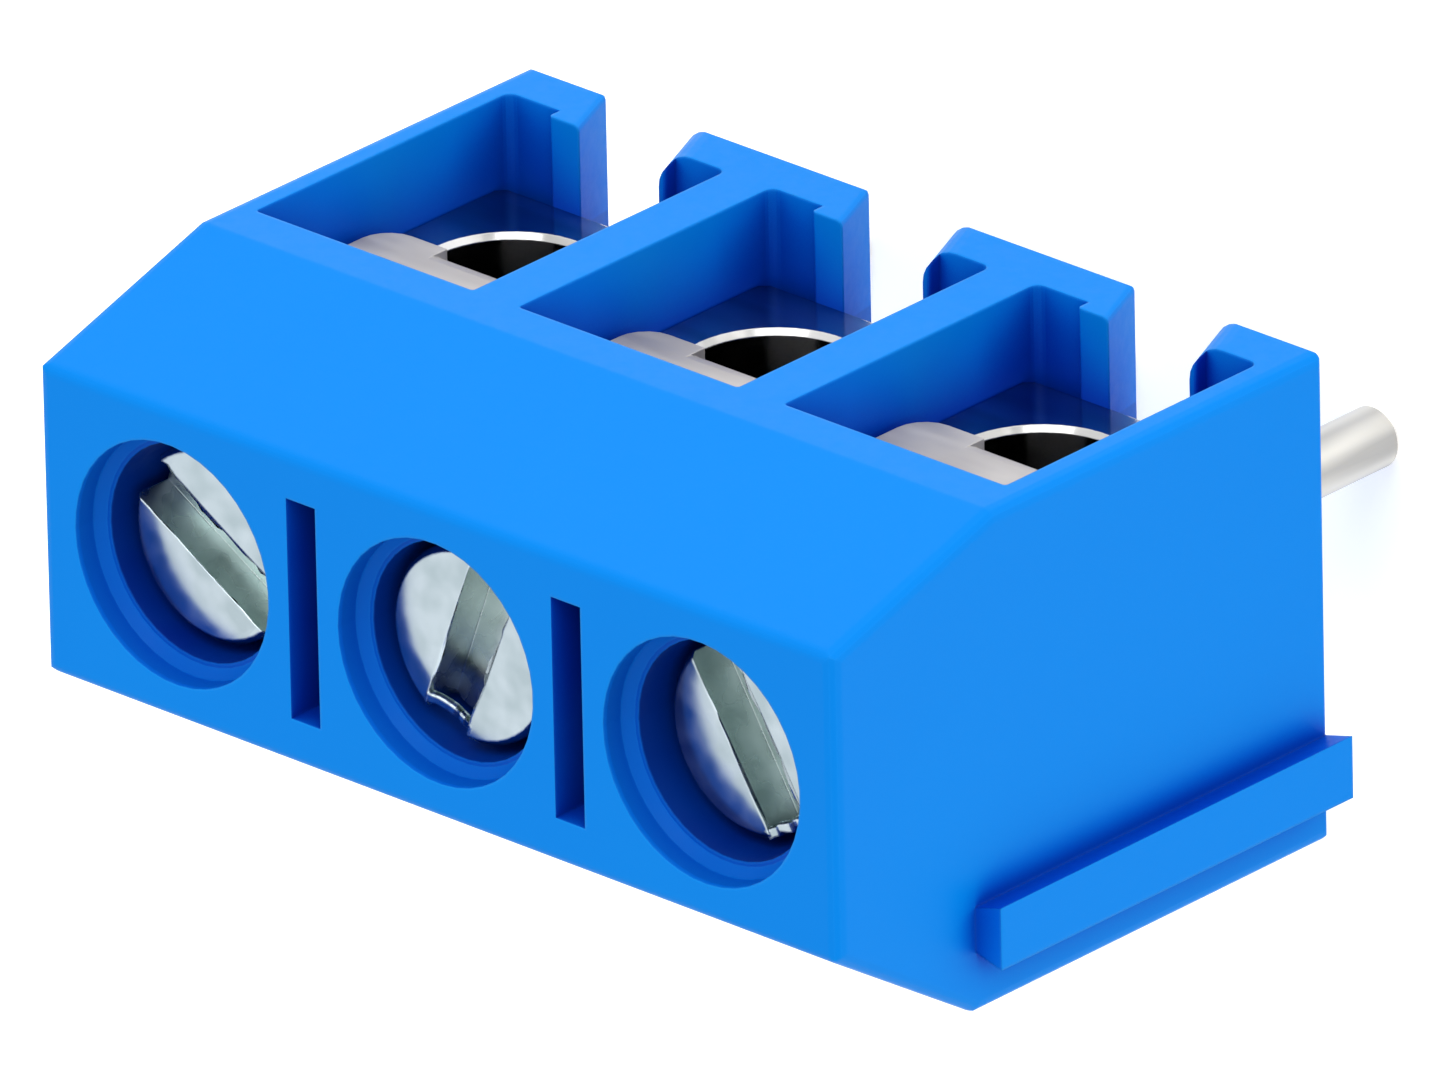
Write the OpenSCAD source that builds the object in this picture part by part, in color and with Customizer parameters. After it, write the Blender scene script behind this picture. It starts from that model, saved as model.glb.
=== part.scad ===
// Three-pole screw terminal for a printed circuit board, 5 mm pitch.
//
// A one-piece moulded housing holds three contact blocks side by side. Each block has a solder pin
// below, a round wire hole through it and a screw above, which presses a wire guard on the wire.
//
// Frame: X runs along the row, +Y from the wire face to the back, +Z from the board to the screws.
// The origin is where the middle pole's pin and screw axis meets the board.

/* [Row] */
// Distance from one pole to the next
pitch = 5; // [5:0.05:7.5]
// Wall between two wire cavities
wall_between = 0.86; // [0.6:0.02:1.2]

/* [Housing] */
// Depth from the wire face to the back face
body_d = 7.5; // [7.2:0.05:10]
// Height above the board
body_h = 10.1; // [9.8:0.1:14]
// Distance from the wire face to the pin and screw axes
axis_set = 3.39; // [3.2:0.01:3.8]
// Height of the upright wire face, where the front slope begins
wire_face_h = 6.78; // [6.4:0.02:8]
// How far the front slope leans back at the top
front_slope_run = 1.04; // [0.6:0.02:1.2]
// Height of the upright back face, where the back slope begins
back_face_h = 7.29; // [6.4:0.02:8]
// How far the back slope leans in at the top
back_slope_run = 1.79; // [0.8:0.01:1.9]
// Radius of the moulded outer edges
edge_r = 0.18; // [0.08:0.01:0.3]
// Radius of the edges that lie on the board
board_edge_r = 0.05; // [0.02:0.01:0.2]

/* [Wire cavities] */
// Thickness of the floor next to the board
floor_t = 0.82; // [0.6:0.02:1]
// Height of the cavity roof above the board
roof_z = 6.05; // [5.8:0.05:6.3]
// Radius of the cavity corners
cavity_r = 0.15; // [0.05:0.01:0.2]
// Width of the raised rib that the contact block sits on
rib_w = 2.2; // [1.8:0.1:2.8]
// Height of the rib's top above the board
rib_top = 1.05; // [1.02:0.01:1.2]

/* [Pin slots] */
// How far each slanted slot leans over the height of the rib
slot_lean = 0.45; // [0.2:0.05:0.5]
// Large radius that leads the pin into the slot, on the -X side of the mouth
slot_lead_r = 0.48; // [0.2:0.02:0.6]
// Radius of the mouth's other corner
slot_corner_r = 0.08; // [0.04:0.01:0.2]

/* [Screw holes] */
// Diameter of the hole that the screw head slides in
hole_d = 3.27; // [3.1:0.01:3.5]
// Diameter of the wider mouth
mouth_d = 3.68; // [3.6:0.01:3.9]
// Depth of the wider mouth
mouth_depth = 0.5; // [0.2:0.05:0.8]
// Fillet in the bottom corner of the mouth
mouth_fillet = 0.14; // [0.05:0.01:0.18]

/* [Slots between the poles] */
// Width of each narrow slot in the screw face
gap_w = 0.55; // [0.4:0.05:0.8]
// Length of each narrow slot
gap_l = 3.38; // [2:0.02:3.6]
// Depth of each narrow slot
gap_depth = 3; // [1:0.1:3.4]

/* [Interlocking rail] */
// How far the rail stands out of the end face
rail_out = 0.48; // [0.3:0.02:0.6]
// Width of the rail's outer face
rail_w = 0.95; // [0.8:0.05:1.1]
// How far each flank is undercut towards the root
rail_undercut = 0.13; // [0.05:0.01:0.2]
// Length of the rail, up from the board
rail_l = 7.3; // [5:0.1:7.4]
// Distance from the rail to the back face
rail_set = 0.82; // [0.7:0.02:1]
// Clearance of the matching groove all round
groove_clear = 0.06; // [0.02:0.01:0.1]

/* [Contact blocks] */
// Length of the block along the wire
block_d = 4; // [3.6:0.02:4.2]
// Clearance between the block and the cavity
block_clear = 0.02; // [0.01:0.01:0.05]
// Chamfer of the block's long edges
block_edge = 0.12; // [0.05:0.01:0.2]
// Diameter of the wire hole
wire_hole_d = 2.65; // [2.3:0.05:2.7]
// Height of the wire hole's centre above the board
wire_hole_z = 3.1; // [3:0.01:3.4]
// Width of the chamfer round each end of the wire hole
wire_hole_edge = 0.08; // [0.05:0.01:0.2]

/* [Solder pins] */
// Diameter of the free pin
pin_d = 0.92; // [0.7:0.02:0.98]
// Length of the free pin below the board face
pin_l = 3.95; // [2.5:0.05:5]
// Bevel at the tip of the pin
pin_bevel = 0.12; // [0.05:0.01:0.2]
// Diameter of the pin's root inside the housing
pin_root_d = 1; // [1:0.02:1.1]
// Height over which the root tapers down to the free pin
pin_taper = 0.62; // [0.6:0.02:0.9]
// Depth that the root is pressed into the block
pin_seat = 0.55; // [0.4:0.05:0.6]
// Radial clearance round the root in the slot
pin_clear = 0.03; // [0.02:0.01:0.06]

/* [Wire guards] */
// Thickness of the sheet
guard_t = 0.28; // [0.2:0.02:0.32]
// Width of the front plate
plate_w = 3.84; // [3:0.02:3.9]
// Height of the front plate
plate_h = 1.7; // [1.2:0.05:1.8]
// Radius of the lower corners
plate_corner_r = 0.5; // [0.2:0.05:0.8]
// Clearance between the front plate and the block
plate_clear = 0.04; // [0.02:0.01:0.08]
// Width of the tongue under the screw
tongue_w = 1.5; // [1.1:0.05:1.7]
// How far the tongue stops short of the block's back
tongue_short = 0.25; // [0.05:0.05:0.4]
// Outer radius of the bend from the plate to the tongue
bend_r = 0.4; // [0.34:0.02:0.5]
// Height of the lowest guard's underside above the board
guard_z = 3.4; // [3.2:0.02:3.6]

/* [Clamping screws] */
// Diameter of the threaded shank
shank_d = 2.4; // [2:0.05:2.5]
// Radial clearance of the shank in the block
thread_clear = 0.05; // [0.02:0.01:0.1]
// Length of the whole screw
screw_l = 5.45; // [5.2:0.05:5.6]
// Diameter of the head
head_d = 2.94; // [2.6:0.02:3]
// Height of the head
head_h = 1.5; // [1.1:0.05:1.6]
// Bevel round the rim of the head
head_bevel = 0.08; // [0.02:0.01:0.15]
// Bevel round the tip
tip_bevel = 0.25; // [0.1:0.05:0.4]
// Width of the screwdriver slot
drive_w = 0.8; // [0.6:0.05:0.9]
// Depth of the screwdriver slot
drive_depth = 0.65; // [0.4:0.05:0.9]

/* [Hidden] */
$fn = 64;

poles = 3;
// Each screw as it was left: how far its guard is raised, and the direction of its slot
pole_lift = [0, 0.28, 0.17];
drive_angle = [121, 69.5, 149];

row_l = poles * pitch;
wire_face_y = -axis_set;
back_y = body_d - axis_set;
cavity_w = pitch - wall_between;
cavity_back = block_d / 2 + block_clear;
block_front = -block_d / 2;
block_w = cavity_w - 2 * block_clear;
block_top = roof_z - block_clear;
slot_half = pin_root_d / 2 + pin_clear;
lean_angle = atan(slot_lean / rib_top);
bend_in = bend_r - guard_t;
plate_back = block_front - plate_clear;
plate_front = plate_back - guard_t;
head_z = guard_z + guard_t + screw_l;
// Overrun of cutting shapes past the faces that they cut
over = 0.4;

housing_blue = [0.08, 0.5, 0.93];
block_plate = [0.78, 0.79, 0.8];
pin_tin = [0.8, 0.79, 0.75];
guard_plate = [0.7, 0.68, 0.64];
screw_zinc = [0.76, 0.81, 0.85];

// The housing's end outline as [y, z], clockwise from the board corner of the wire face
outline = [
    [wire_face_y, 0],
    [wire_face_y, wire_face_h],
    [wire_face_y + front_slope_run, body_h],
    [back_y - back_slope_run, body_h],
    [back_y, back_face_h],
    [back_y, 0]
];
outline_radii = [board_edge_r, edge_r, edge_r, edge_r, edge_r, board_edge_r];

// Centre of a pole along the row
function pole_x(pole) = (pole - (poles + 1) / 2) * pitch;

function unit(v) = v / norm(v);

// Points on an arc about c, from angle a to angle b
function arc(c, r, a, b, steps) =
    [for (i = [0:steps]) let (t = a + (b - a) * i / steps) c + r * [cos(t), sin(t)]];

// An angle brought into the range from -180 to 180
function wrapped(a) = a > 180 ? a - 360 : a < -180 ? a + 360 : a;

// The arc that rounds corner q between its neighbours p and s
function corner(p, q, s, r, steps) =
    let (u = unit(p - q), v = unit(s - q),
         half = acos(u * v) / 2,
         c = q + unit(u + v) * r / sin(half),
         from = q + u * r / tan(half) - c,
         to = q + v * r / tan(half) - c,
         a = atan2(from.y, from.x))
    arc(c, r, a, a + wrapped(atan2(to.y, to.x) - a), steps);

// A polygon with a radius of its own at each corner; 0 leaves the corner sharp
function rounded(pts, radii, steps = 4) =
    let (n = len(pts))
    [for (i = [0:n - 1])
        each (radii[i] > 0
            ? corner(pts[(i + n - 1) % n], pts[i], pts[(i + 1) % n], radii[i], steps)
            : [pts[i]])];

// Extrudes an outline drawn as [y, z] along X, centred on the row
module along_row(l) {
    rotate([90, 0, 90]) linear_extrude(l, center = true) children();
}

// Extrudes an outline drawn as [x, z] from y = a back to y = b
module along_wire(a, b) {
    translate([0, b, 0]) rotate([90, 0, 0]) linear_extrude(b - a) children();
}

// Rounds the end face's edge between outline points p and q
module end_edge(p, q, r) {
    along = q - p;
    l = norm(along) + 2 * over;
    translate([row_l / 2, p.x, p.y])
        rotate([atan2(along.y, along.x), 0, 0])
            along_wire(-over, l - over)
                polygon(concat(
                    [[over, over], [-r, over]],
                    arc([-r, -r], r, 90, 0, 3),
                    [[over, -r]]));
}

// The dovetail outline as [x, y], standing out of a face at x = 0 towards -X
module dovetail(grow) {
    y_front = back_y - rail_set - rail_w - grow;
    y_back = back_y - rail_set + grow;
    under = rail_undercut;
    polygon([
        [-rail_out - grow, y_front],
        [0, y_front + under],
        [over, y_front + under],
        [over, y_back - under],
        [0, y_back - under],
        [-rail_out - grow, y_back]
    ]);
}

// One pole's cavity with the rib left standing on its floor
module cavity() {
    w = cavity_w / 2;
    r = cavity_r;
    along_wire(wire_face_y - over, cavity_back)
        polygon(rounded([
            [-w, floor_t], [-rib_w / 2, floor_t], [-rib_w / 2, rib_top],
            [rib_w / 2, rib_top], [rib_w / 2, floor_t], [w, floor_t],
            [w, roof_z], [-w, roof_z]
        ], [r, 0, 0.06, 0.06, 0, r, 0.06, 0.06]));
}

// The slanted slot that the pin slides in along, open to the wire face
module pin_slot() {
    w = (slot_half + slot_lean / 2) * cos(lean_angle);
    r = slot_corner_r;
    lead = slot_lead_r;
    far = slot_half;
    mouth_y = wire_face_y;
    translate([0, 0, rib_top / 2])
        rotate([0, -lean_angle, 0])
            linear_extrude(2.4 * rib_top, center = true)
                polygon(concat(
                    [[w, far]],
                    arc([w + r, mouth_y + r], r, 180, 270, 2),
                    [[w + r, mouth_y - over], [-w - lead, mouth_y - over]],
                    arc([-w - lead, mouth_y + lead], lead, -90, 0, 6),
                    [[-w, far]]));
}

// The stepped hole above one screw
module screw_hole() {
    r = hole_d / 2;
    ledge_z = body_h - mouth_depth;
    rotate_extrude()
        polygon([
            [0, roof_z - over], [r, roof_z - over], [r, ledge_z],
            [mouth_d / 2 - mouth_fillet, ledge_z],
            [mouth_d / 2, ledge_z + mouth_fillet],
            [mouth_d / 2, body_h + over], [0, body_h + over]
        ]);
}

module housing() {
    color(housing_blue) {
        difference() {
            along_row(row_l)
                polygon(rounded(outline, outline_radii));
            for (side = [0, 1], i = [0:len(outline) - 1])
                mirror([side, 0, 0])
                    end_edge(outline[i], outline[(i + 1) % len(outline)],
                        i < len(outline) - 1 ? edge_r : board_edge_r);
            for (pole = [1:poles])
                translate([pole_x(pole), 0, 0]) {
                    cavity();
                    pin_slot();
                    screw_hole();
                }
            for (i = [1:poles - 1])
                translate([pole_x(i) + (pitch - gap_w) / 2, -gap_l / 2, body_h - gap_depth])
                    cube([gap_w, gap_l, gap_depth + over]);
            translate([row_l / 2, 0, -over])
                linear_extrude(rail_l + groove_clear + over)
                    dovetail(groove_clear);
        }
        translate([-row_l / 2, 0, 0]) linear_extrude(rail_l) dovetail(0);
    }
}

// One plated block, drilled for the wire, tapped for the screw and bored for the pin
module contact_block(pole) {
    w = block_w / 2;
    r = wire_hole_d / 2;
    edge = wire_hole_edge;
    color(block_plate)
        translate([pole_x(pole), 0, 0])
            difference() {
                along_wire(block_front, -block_front)
                    polygon(rounded([
                        [-w, rib_top], [w, rib_top], [w, block_top], [-w, block_top]
                    ], [for (i = [1:4]) block_edge], 1));
                translate([0, 0, wire_hole_z])
                    rotate([90, 0, 0])
                        rotate_extrude()
                            polygon([
                                [0, block_front - over], [r + edge, block_front - over],
                                [r + edge, block_front], [r, block_front + edge],
                                [r, -block_front - edge], [r + edge, -block_front],
                                [r + edge, over - block_front], [0, over - block_front]
                            ]);
                translate([0, 0, wire_hole_z])
                    cylinder(h = block_top, r = shank_d / 2 + thread_clear);
                translate([0, 0, rib_top - over])
                    cylinder(h = pin_seat + over, d = pin_root_d + 0.02);
            }
}

// One solder pin: a free end that goes through the board, and a thicker root
module solder_pin(pole) {
    tip_r = pin_d / 2 - pin_bevel;
    color(pin_tin)
        translate([pole_x(pole), 0, 0])
            rotate_extrude()
                polygon([
                    [0, -pin_l], [tip_r, -pin_l], [pin_d / 2, pin_bevel - pin_l],
                    [pin_d / 2, 0], [pin_root_d / 2, pin_taper],
                    [pin_root_d / 2, rib_top + pin_seat], [0, rib_top + pin_seat]
                ]);
}

// One wire guard: a plate in front of the wire hole, with a tongue bent back under the screw
module wire_guard(pole) {
    z = guard_z + pole_lift[pole - 1];
    w = plate_w / 2;
    c = plate_corner_r;
    color(guard_plate)
        translate([pole_x(pole), 0, z]) {
            difference() {
                along_wire(plate_front, plate_back)
                    polygon(rounded([
                        [-w, 0], [w, 0], [w, plate_h], [-w, plate_h]
                    ], [c, c, 0.1, 0.1], 5));
                translate([-tongue_w / 2, plate_front - over, -over])
                    cube([tongue_w, guard_t + 2 * over, bend_r + over]);
            }
            along_row(tongue_w) tongue_outline();
        }
}

// The tongue's side outline as [y, z], with its bend up into the front plate
module tongue_outline() {
    c = [plate_front + bend_r, bend_r];
    end_y = block_d / 2 - tongue_short;
    polygon(concat(
        arc(c, bend_r, 180, 270, 5),
        [[end_y, 0], [end_y, guard_t]],
        arc(c, bend_in, 270, 180, 5)));
}

// One slotted screw, standing on its wire guard
module clamp_screw(pole) {
    head_r = head_d / 2;
    shank_r = shank_d / 2;
    color(screw_zinc)
        translate([pole_x(pole), 0, head_z + pole_lift[pole - 1]])
            rotate([0, 0, drive_angle[pole - 1]])
                difference() {
                    rotate_extrude()
                        polygon([
                            [0, -screw_l], [shank_r - tip_bevel, -screw_l],
                            [shank_r, tip_bevel - screw_l], [shank_r, -head_h],
                            [head_r, -head_h], [head_r, -head_bevel],
                            [head_r - head_bevel, 0], [0, 0]
                        ]);
                    translate([-head_d, -drive_w / 2, -drive_depth])
                        cube([2 * head_d, drive_w, drive_depth + over]);
                }
}

housing();
for (pole = [1:poles]) {
    contact_block(pole);
    solder_pin(pole);
    wire_guard(pole);
    clamp_screw(pole);
}
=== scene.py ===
"""Looks of a three-pole screw terminal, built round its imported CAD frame. All lengths are in metres."""

import math

import bmesh
import bpy
from mathutils import Matrix, Vector, noise

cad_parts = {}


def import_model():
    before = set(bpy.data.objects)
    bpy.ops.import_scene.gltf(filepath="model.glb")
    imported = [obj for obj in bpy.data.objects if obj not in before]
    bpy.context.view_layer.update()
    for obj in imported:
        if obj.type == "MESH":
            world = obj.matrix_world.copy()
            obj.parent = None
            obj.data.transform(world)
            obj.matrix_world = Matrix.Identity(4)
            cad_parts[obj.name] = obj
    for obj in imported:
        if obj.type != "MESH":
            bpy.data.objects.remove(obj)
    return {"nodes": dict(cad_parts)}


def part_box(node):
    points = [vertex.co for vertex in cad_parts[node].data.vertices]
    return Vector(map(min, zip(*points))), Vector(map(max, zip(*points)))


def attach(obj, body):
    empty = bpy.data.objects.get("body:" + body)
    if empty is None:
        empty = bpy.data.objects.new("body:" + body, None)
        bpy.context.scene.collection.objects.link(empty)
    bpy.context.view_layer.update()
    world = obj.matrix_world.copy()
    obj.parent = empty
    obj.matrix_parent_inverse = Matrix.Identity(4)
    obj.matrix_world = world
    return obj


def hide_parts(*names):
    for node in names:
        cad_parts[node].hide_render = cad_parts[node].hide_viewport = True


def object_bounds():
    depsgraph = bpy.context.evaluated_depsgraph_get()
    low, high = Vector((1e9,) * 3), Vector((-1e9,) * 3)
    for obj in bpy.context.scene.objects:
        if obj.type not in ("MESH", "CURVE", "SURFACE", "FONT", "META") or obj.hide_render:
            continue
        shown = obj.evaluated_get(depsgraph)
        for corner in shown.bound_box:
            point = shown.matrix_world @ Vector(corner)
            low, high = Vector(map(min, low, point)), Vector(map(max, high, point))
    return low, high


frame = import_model()
cad_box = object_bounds()
NODES = frame["nodes"]
MM = 0.001
POLES = (1, 2, 3)


def middle(node):
    """The middle of a CAD node's box."""
    low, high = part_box(node)
    return (low + high) / 2


# The screw holes, which open in the housing's top face with a wider mouth
PITCH = middle("contact_block_2").x - middle("contact_block_1").x
SCREW_FACE_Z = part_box("housing")[1].z
HOLE_R = 1.635 * MM
MOUTH_R = 1.84 * MM
MOUTH_DEPTH = 0.5 * MM


# ---------------------------------------------------------------- shader helpers

class Shader:
    """A material under construction, with short ways to add and join nodes."""

    def __init__(self, name):
        self.material = bpy.data.materials.new(name)
        self.material.use_nodes = True
        self.tree = self.material.node_tree
        self.bsdf = self.tree.nodes["Principled BSDF"]
        self.coords = self.add("ShaderNodeTexCoord").outputs["Object"]

    def add(self, kind, **values):
        """A new node, with values given to the inputs and properties of those names."""
        node = self.tree.nodes.new(kind)
        for key, value in values.items():
            if key in node.inputs:
                self.put(node.inputs[key], value)
            else:
                setattr(node, key, value)
        return node

    def put(self, socket, value):
        """Joins another node's output to an input, or sets a constant on it."""
        if isinstance(value, bpy.types.NodeSocket):
            self.tree.links.new(value, socket)
        else:
            socket.default_value = value

    def set(self, **values):
        """Inputs of the surface itself, with _ for each space in their names."""
        for key, value in values.items():
            self.put(self.bsdf.inputs[key.replace("_", " ")], value)

    def stretch(self, scale):
        """The object's coordinates, scaled along each axis."""
        node = self.add("ShaderNodeMapping", Vector=self.coords, Scale=scale)
        return node.outputs["Vector"]

    def noise(self, scale, detail=2.0, roughness=0.5, distortion=0.0, coords=None):
        """Cloudy values round 0.5, scale of them to a metre."""
        node = self.add("ShaderNodeTexNoise", Vector=coords or self.coords, Scale=scale, Detail=detail,
                        Roughness=roughness, Distortion=distortion)
        return node.outputs["Fac"]

    def spread(self, value, low, high, to_low=0.0, to_high=1.0):
        """The range low..high of value, mapped to to_low..to_high and held there beyond it."""
        node = self.add("ShaderNodeMapRange")
        node.clamp = True
        for socket, x in zip(("Value", "From Min", "From Max", "To Min", "To Max"),
                             (value, low, high, to_low, to_high)):
            self.put(node.inputs[socket], x)
        return node.outputs["Result"]

    def math(self, kind, a, b):
        node = self.add("ShaderNodeMath", operation=kind)
        self.put(node.inputs[0], a)
        self.put(node.inputs[1], b)
        return node.outputs[0]

    def mix(self, fac, a, b):
        """Colour a where fac is 0, and b where it is 1."""
        node = self.add("ShaderNodeMix", data_type="RGBA")
        self.put(node.inputs[0], fac)
        for socket, x in ((node.inputs[6], a), (node.inputs[7], b)):
            self.put(socket, x if isinstance(x, bpy.types.NodeSocket) else (*x, 1.0))
        return node.outputs[2]

    def bump(self, height, distance, strength, normal):
        """The normal, tilted by the slopes of height."""
        node = self.add("ShaderNodeBump", Height=height, Distance=distance, Strength=strength,
                        Normal=normal)
        return node.outputs["Normal"]

    def soft_edge(self, radius):
        """(rounded normal, 0..1 mask of where an edge turns the surface)."""
        node = self.add("ShaderNodeBevel", samples=6, Radius=radius)
        dot = self.add("ShaderNodeVectorMath", operation="DOT_PRODUCT")
        self.put(dot.inputs[0], node.outputs["Normal"])
        self.put(dot.inputs[1], self.add("ShaderNodeNewGeometry").outputs["True Normal"])
        return node.outputs["Normal"], self.spread(dot.outputs["Value"], 1.0, 0.8)

    def openness(self, reach):
        """How open the surface lies to its surroundings, from 0 in a deep corner to 1 on a free face."""
        return self.add("ShaderNodeAmbientOcclusion", samples=8, Distance=reach).outputs["AO"]

    def well(self, radius, top):
        """1 inside the three screw holes, within radius of their axes and below top, and 0 elsewhere."""
        fade = 0.03 * MM
        place = self.add("ShaderNodeSeparateXYZ")
        self.put(place.inputs[0], self.coords)
        wrap = self.add("ShaderNodeMath", operation="WRAP")
        for socket, value in zip(wrap.inputs, (place.outputs["X"], PITCH / 2, -PITCH / 2)):
            self.put(socket, value)
        off = self.add("ShaderNodeCombineXYZ", X=wrap.outputs[0], Y=place.outputs["Y"])
        far = self.add("ShaderNodeVectorMath", operation="LENGTH")
        self.put(far.inputs[0], off.outputs[0])
        inside = self.spread(far.outputs["Value"], radius + fade, radius + 2 * fade, 1.0, 0.0)
        below = self.spread(place.outputs["Z"], top - fade, top, 1.0, 0.0)
        return self.math("MULTIPLY", inside, below)

    def ramp(self, value, stops):
        """Colours that follow value, given as (place, colour)."""
        colour = stops[0][1]
        for (low, _), (high, after) in zip(stops, stops[1:]):
            colour = self.mix(self.spread(value, low, high), colour, after)
        return colour


# ---------------------------------------------------------------- materials

# The plastic, darkened by painted shade from shut-in places to its own blue on open faces
SHUT_SHADE_BLUE = (0.0, 0.003, 0.16)
DEEP_SHADE_BLUE = (0.0, 0.030, 0.42)
WALL_SHADE_BLUE = (0.0, 0.108, 0.61)
FACE_BLUE = (0.0, 0.166, 0.56)
# Painted shade in its inner corners, the screw holes' mouths and the holes below them
CORNER_SHADE_BLUE = (0.0, 0.016, 0.30)
MOUTH_SHADE_BLUE = (0.0, 0.06, 0.36)
HOLE_SHADE_BLUE = (0.0, 0.007, 0.15)
# Its flow marks, and the painted highlight on its edges
FLOW_BLUE = (0.0, 0.145, 0.52)
EDGE_HIGHLIGHT_BLUE = (0.012, 0.25, 0.76)

# Painted shade for metal deep inside a hole, and how much brighter than its face the painted highlight on
# a metal's edge is
INNER_SHADE_BLACK = (0.004, 0.004, 0.005)
EDGE_HIGHLIGHT_GAIN = 1.45


def moulded_blue():
    """Blue polyamide: flow marks, painted shade where walls face each other, painted edge highlights."""
    s = Shader("moulded_blue_plastic")
    flow = s.noise(220, 3, 0.55, 0.6, s.stretch((1, 1, 0.45)))
    grain = s.noise(5200, 2, 0.6)
    normal, edge = s.soft_edge(0.07 * MM)
    openness = s.openness(2.5 * MM)

    # Painted shade: the more walls shut the surface in, the darker the blue, down to near black
    shade = s.ramp(openness, [(0.12, SHUT_SHADE_BLUE), (0.34, DEEP_SHADE_BLUE),
                              (0.56, WALL_SHADE_BLUE), (0.90, FACE_BLUE)])
    # Painted shade, deeper still in inner corners
    corner = s.spread(s.openness(1.4 * MM), 0.42, 0.9, 0.9, 0.0)
    shade = s.mix(corner, shade, CORNER_SHADE_BLUE)
    # Painted shade on the walls of the screw holes' mouths
    mouth = s.math("MULTIPLY", s.well(MOUTH_R, SCREW_FACE_Z - 0.06 * MM), 0.55)
    shade = s.mix(mouth, shade, MOUTH_SHADE_BLUE)
    # Painted shade, near black, in the screw holes below their mouths
    hole = s.math("MULTIPLY", s.well(HOLE_R, SCREW_FACE_Z - MOUTH_DEPTH), 0.88)
    shade = s.mix(hole, shade, HOLE_SHADE_BLUE)

    colour = s.mix(s.spread(flow, 0.3, 0.7, 0.0, 0.35), shade, s.mix(0.5, shade, FLOW_BLUE))
    # Painted highlight: paler blue on the convex edges of open faces
    edge_highlight = s.math("MULTIPLY", edge, s.spread(openness, 0.6, 0.8, 0.0, 0.6))
    colour = s.mix(edge_highlight, colour, EDGE_HIGHLIGHT_BLUE)
    s.set(Base_Color=colour, Roughness=s.spread(grain, 0.3, 0.7, 0.34, 0.44),
          Specular_IOR_Level=0.04)
    height = s.math("ADD", s.math("MULTIPLY", grain, 0.25), flow)
    s.set(Normal=s.bump(height, 0.006 * MM, 0.5, normal))
    return s.material


def plated(name, tint, dark, rough, streak=(1, 1, 1), metallic=1.0, edge_r=0.03 * MM,
           relief=0.002 * MM, painted_shade_inside=False):
    """Plated or bare metal, with streaks along its draw or roll direction and painted edge highlights.

    streak scales the streaks along each axis: the smaller the number, the longer they run that way.
    """
    s = Shader(name)
    cloud = s.noise(900, 2, 0.5, 0.0, s.stretch([min(1.0, 4 * v) for v in streak]))
    line = s.noise(2600, 1, 0.4, 0.0, s.stretch(streak))
    normal, edge = s.soft_edge(edge_r)
    worn = s.spread(s.math("ADD", s.math("MULTIPLY", line, 0.6), s.math("MULTIPLY", cloud, 0.4)),
                    0.38, 0.62)
    colour = s.mix(worn, dark, tint)
    # Painted highlight: a brighter tint on the edges
    bright = tuple(min(1.0, c * EDGE_HIGHLIGHT_GAIN) for c in tint)
    colour = s.mix(s.math("MULTIPLY", edge, 0.5), colour, bright)
    if painted_shade_inside:
        # Painted shade: black where the metal lies shut in deep inside a hole
        shut = s.spread(s.openness(4 * MM), 0.10, 0.42, 1.0, 0.0)
        colour = s.mix(shut, colour, INNER_SHADE_BLACK)
    s.set(Base_Color=colour, Metallic=metallic,
          Roughness=s.spread(line, 0.3, 0.7, rough * 0.8, rough * 1.25))
    s.set(Normal=s.bump(line, relief, 0.6, normal))
    return s.material


BLUE = moulded_blue()
# The contact block gets painted shade deep inside its wire hole
BLOCK = plated("nickel_plate", (0.56, 0.56, 0.56), (0.40, 0.40, 0.39), 0.14,
               streak=(0.15, 1, 1), painted_shade_inside=True)
PIN = plated("tinned_pin", (0.86, 0.82, 0.71), (0.40, 0.385, 0.35), 0.36,
             streak=(1, 1, 0.06), metallic=0.6, edge_r=0.015 * MM, relief=0.001 * MM)
GUARD = plated("guard_sheet_steel", (0.46, 0.44, 0.42), (0.34, 0.32, 0.31), 0.48,
               streak=(0.2, 1, 1), metallic=0.5)
ZINC = plated("bright_zinc", (0.48, 0.56, 0.61), (0.37, 0.45, 0.49), 0.16, edge_r=0.05 * MM)
ZINC_SLOT = plated("green_tinged_zinc", (0.56, 0.65, 0.64), (0.42, 0.50, 0.49), 0.26)

FINISH = {"housing": BLUE, "contact_block": BLOCK, "solder_pin": PIN,
          "wire_guard": GUARD, "clamp_screw": ZINC}
for name, node in NODES.items():
    kind = name.rstrip("_123456789")
    node.data.materials.clear()
    node.data.materials.append(FINISH[kind])


# ---------------------------------------------------------------- screws

HEAD_H = 1.5 * MM
DRIVE_W = 0.8 * MM
DRIVE_DEPTH = 0.65 * MM

# What a screwdriver has done to the slot's rims: sideways dents, and metal pressed down
RIM_CUTS = 22
RIM_DENT = 0.07 * MM
RIM_SINK = 0.05 * MM

# Poles whose slot has a burr across its +Y end, and how far the burr lies from the screw's axis
BURRS = {1: 1.33 * MM, 2: 1.22 * MM}
BURR_THICK = 0.05 * MM
BURR_STEPS = 12

THREAD_PITCH = 0.45 * MM
THREAD_DEPTH = 0.24 * MM
TIP_BEVEL = 0.25 * MM
THREAD_SIDES = 48
THREAD_ROWS_A_TURN = 9
# Shares of half a thread pitch: the root's flat, and the flank that rises from it
ROOT_FLAT = 0.12
FLANK_RUN = 0.74

# A distance that tells one height in the CAD screw from the next
HAIR = 0.01 * MM


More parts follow.
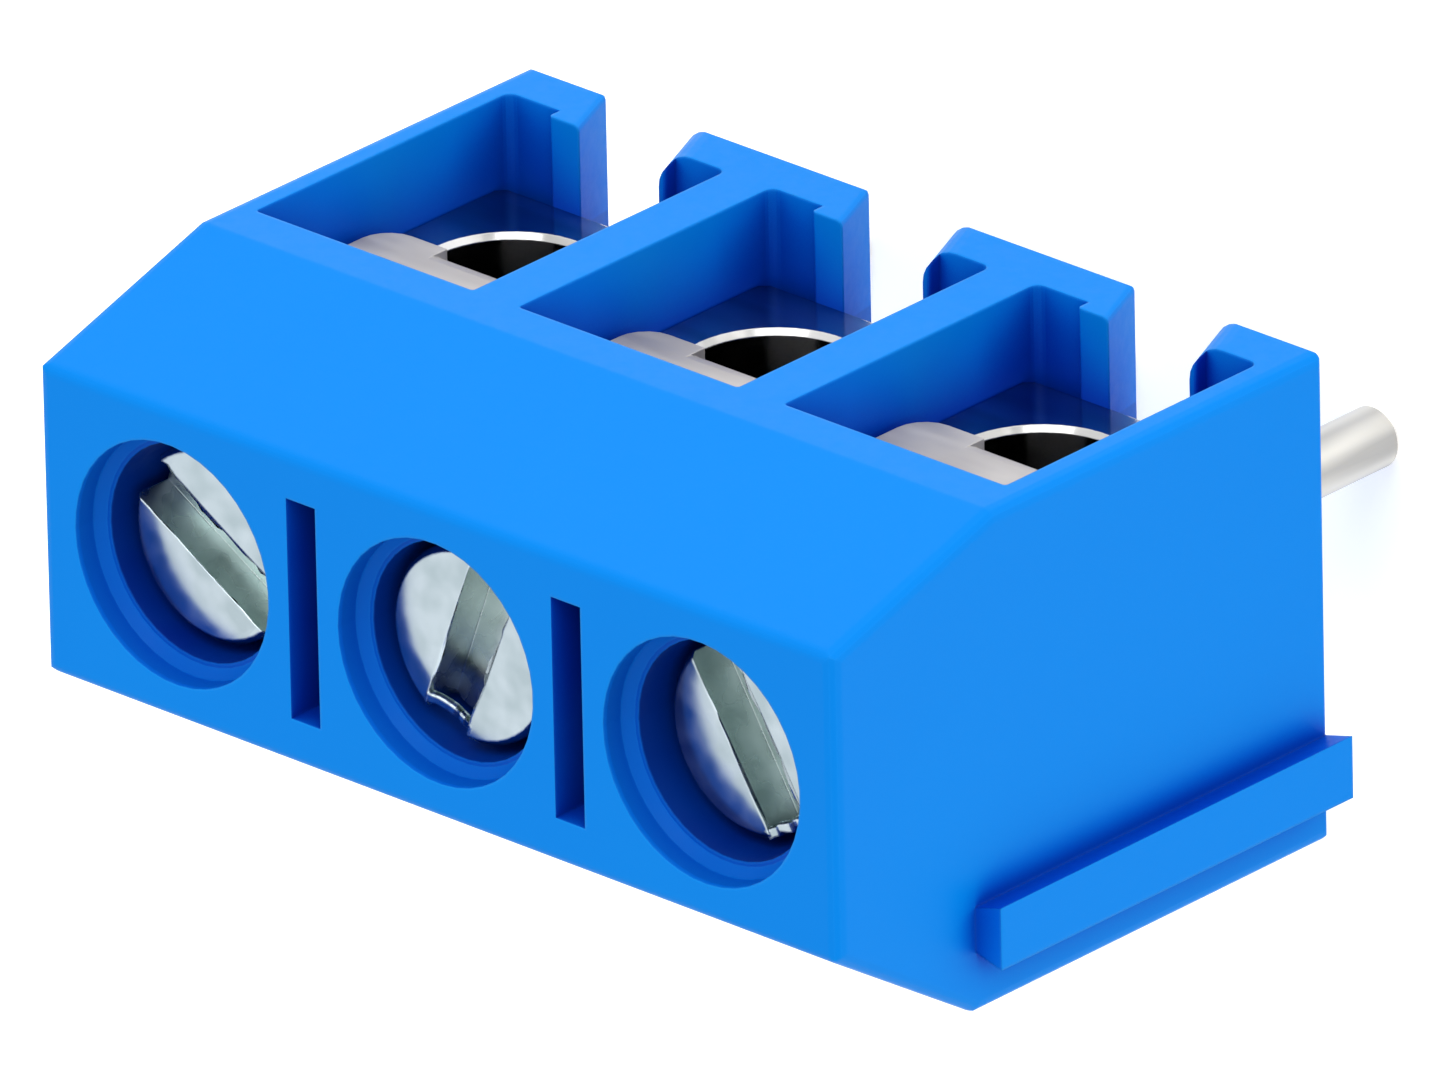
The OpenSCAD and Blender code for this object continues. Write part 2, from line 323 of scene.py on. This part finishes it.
def head_of(node, under):
    """The head of a CAD screw as a closed bmesh of flat faces, with the shank taken off."""
    bm = bmesh.new()
    bm.from_mesh(node.data)
    bmesh.ops.remove_doubles(bm, verts=bm.verts, dist=0.0002 * MM)
    shank = [v for v in bm.verts if v.co.z < under - HAIR]
    shank_r = max(math.dist(a.co.xy, b.co.xy) for a in shank for b in shank) / 2
    bmesh.ops.delete(bm, geom=shank, context="VERTS")
    bmesh.ops.holes_fill(bm, edges=[e for e in bm.edges if e.is_boundary], sides=0)
    bmesh.ops.dissolve_limit(bm, angle_limit=0.004, verts=bm.verts, edges=bm.edges)
    return bm, shank_r


def slot_direction(bm, floor_z):
    """The direction of the longest edge round the slot's floor."""
    edges = [e for e in bm.edges if all(abs(v.co.z - floor_z) < HAIR for v in e.verts)]
    a, b = max(edges, key=lambda e: e.calc_length()).verts
    return (b.co - a.co).normalized()


def slot_rims(bm, top, along):
    """The slot's two long edges in the head's top face."""
    def is_rim(edge):
        a, b = (v.co for v in edge.verts)
        level = all(abs(co.z - top) < 0.001 * MM for co in (a, b))
        return level and abs((b - a).normalized().dot(along)) > 0.999 and edge.calc_length() > 1.5 * MM

    return [e for e in bm.edges if is_rim(e)]


def work_slot_rim(bm, top, centre, along, seed):
    """Breaks the slot's two long rims into the small burrs and dents that a screwdriver leaves."""
    across = along.cross(Vector((0, 0, 1)))
    made = bmesh.ops.subdivide_edges(bm, edges=slot_rims(bm, top, along), cuts=RIM_CUTS)
    for v in (g for g in made["geom_inner"] if isinstance(g, bmesh.types.BMVert)):
        here = v.co - centre
        side = math.copysign(1, here.dot(across))
        at = Vector((here.dot(along) / MM, side * 3, seed))
        wave = noise.noise(at * 2.1) + 0.6 * noise.noise(at * 6.3)
        v.co += across * side * wave * RIM_DENT
        v.co.z -= max(0.0, wave) * RIM_SINK


def finish_slot(bm, under, top, centre, along):
    """Gives the slot's floor and walls the second material."""
    across = along.cross(Vector((0, 0, 1)))
    for face in bm.faces:
        here = face.calc_center_median()
        in_height = under + 0.1 * MM < here.z < top - 0.05 * MM
        if in_height and abs((here - centre).dot(across)) < DRIVE_W * 0.6:
            face.material_index = 1


def add_burr(bm, top, centre, along, reach, seed):
    """A thin curl of metal left across one end of the slot."""
    along = along if along.y > 0 else -along
    across = along.cross(Vector((0, 0, 1)))
    half = DRIVE_W / 2 + 0.04 * MM
    rings = []
    for i in range(BURR_STEPS + 1):
        t = 2 * i / BURR_STEPS - 1
        ragged = noise.noise(Vector((3 * t, seed, 0.0)))
        spine = centre + across * half * t + along * (reach + 0.10 * MM * ragged)
        spine.z = top - BURR_THICK - (1 - t * t) * (0.10 + 0.08 * ragged) * MM
        wide = BURR_THICK * (1.8 + ragged)
        rings.append([bm.verts.new(spine + along * a * wide + Vector((0, 0, b * BURR_THICK)))
                      for a, b in ((-1, -0.7), (1, -1), (0.8, 0.8), (-0.6, 1))])
    join_rings(bm, rings)


def join_rings(bm, rings, smooth=False):
    """A closed shell through rings of equally many vertices, with flat ends."""
    count = len(rings[0])
    for before, after in zip(rings, rings[1:]):
        for i in range(count):
            k = (i + 1) % count
            bm.faces.new((before[i], before[k], after[k], after[i])).smooth = smooth
    bm.faces.new(rings[0][::-1])
    bm.faces.new(rings[-1])


def thread_radius(turn, radius):
    """The radius of a thread with rounded crests and roots, at a share of one turn."""
    flank = min(1.0, max(0.0, (1.0 - abs(2 * turn - 1) - ROOT_FLAT) / FLANK_RUN))
    return radius - THREAD_DEPTH * (1 - flank * flank * (3 - 2 * flank))


def add_thread(bm, centre, radius, low, high):
    """A right-handed thread with rounded crests, run out at the tip, as a closed shell."""
    rows = round((high - low) / THREAD_PITCH * THREAD_ROWS_A_TURN)
    rings = []
    for j in range(rows + 1):
        z = low + (high - low) * j / rows
        limit = radius - max(0.0, TIP_BEVEL - (z - low))
        ring = []
        for i in range(THREAD_SIDES):
            r = min(limit, thread_radius((z / THREAD_PITCH - i / THREAD_SIDES) % 1.0, radius))
            a = 2 * math.pi * i / THREAD_SIDES
            ring.append(bm.verts.new((centre.x + r * math.cos(a), centre.y + r * math.sin(a), z)))
        rings.append(ring)
    join_rings(bm, rings, smooth=True)


def threaded_screw(pole):
    """A pole's screw in full: the CAD head with a used slot, on a shank with a real thread."""
    node = NODES[f"clamp_screw_{pole}"]
    low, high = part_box(node.name)
    under = high.z - HEAD_H
    centre = Vector(((low.x + high.x) / 2, (low.y + high.y) / 2, high.z))
    bm, shank_r = head_of(node, under)
    along = slot_direction(bm, high.z - DRIVE_DEPTH)
    finish_slot(bm, under, high.z, centre, along)
    work_slot_rim(bm, high.z, centre, along, 7.3 * pole)
    if pole in BURRS:
        add_burr(bm, high.z, centre, along, BURRS[pole], 2.9 * pole)
    add_thread(bm, centre, shank_r, low.z, under + 0.1 * MM)
    bmesh.ops.recalc_face_normals(bm, faces=bm.faces)
    mesh = bpy.data.meshes.new(f"threaded_screw_{pole}")
    bm.to_mesh(mesh)
    bm.free()
    mesh.materials.append(ZINC)
    mesh.materials.append(ZINC_SLOT)
    screw = bpy.data.objects.new(f"threaded_screw_{pole}", mesh)
    bpy.context.scene.collection.objects.link(screw)
    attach(screw, f"screw_{pole}")
    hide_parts(node.name)


for pole in POLES:
    threaded_screw(pole)


# ---------------------------------------------------------------- studio

FLOOR_R = 12.0
# The camera stands far off, with a long lens, where the photograph was taken from
CAMERA_AT = Vector((-377.09, -257.82, 408.81)) * MM
LOOK = Vector((0.6179, 0.4228, -0.6629))
IMAGE_RIGHT = Vector((-0.7376, 0.0196, -0.6750))
LENS = 1094.0
SENSOR_W = 36.0


def world(colour, strength):
    """Even light from all round."""
    made = bpy.data.worlds.new("studio")
    made.use_nodes = True
    background = made.node_tree.nodes["Background"]
    background.inputs["Color"].default_value = (*colour, 1)
    background.inputs["Strength"].default_value = strength
    bpy.context.scene.world = made


def softbox(name, place, size, power, aim):
    """A square lamp at place, turned to aim."""
    data = bpy.data.lights.new(name, "AREA")
    data.shape = "SQUARE"
    data.size = size
    data.energy = power
    light = bpy.data.objects.new(name, data)
    bpy.context.scene.collection.objects.link(light)
    light.location = place
    light.rotation_mode = "QUATERNION"
    light.rotation_quaternion = (Vector(aim) - Vector(place)).to_track_quat("-Z", "Y")


def floor():
    """Plain pale paper under the pins' tips, with a faint glow that keeps it white."""
    low = cad_box[0].z
    r = FLOOR_R
    mesh = bpy.data.meshes.new("studio_floor")
    mesh.from_pydata([(-r, -r, low), (r, -r, low), (r, r, low), (-r, r, low)], [], [(0, 1, 2, 3)])
    plane = bpy.data.objects.new("studio_floor", mesh)
    bpy.context.scene.collection.objects.link(plane)
    s = Shader("pale_paper")
    s.set(Base_Color=(0.975, 0.97, 0.955, 1.0), Roughness=0.9, Specular_IOR_Level=0.1,
          Emission_Color=(1.0, 1.0, 1.0, 1.0), Emission_Strength=0.3)
    mesh.materials.append(s.material)


def camera():
    """The photograph's view of the part."""
    data = bpy.data.cameras.new("camera")
    data.sensor_width = SENSOR_W
    data.lens = LENS
    data.clip_start, data.clip_end = 0.01, 100.0
    cam = bpy.data.objects.new("camera", data)
    bpy.context.scene.collection.objects.link(cam)
    look = LOOK.normalized()
    right = (IMAGE_RIGHT - look * IMAGE_RIGHT.dot(look)).normalized()
    up = right.cross(look)
    turn = Matrix((right, up, -look)).transposed().to_4x4()
    cam.matrix_world = Matrix.Translation(CAMERA_AT) @ turn
    bpy.context.scene.camera = cam


world((1.0, 1.0, 1.0), 1.28)
softbox("key_from_wire_side", (-0.15, -0.6, 0.35), 0.5, 2.2, aim=(0, 0, 0.005))
floor()
camera()
view = bpy.context.scene.view_settings
view.view_transform = "Standard"
view.look = "None"
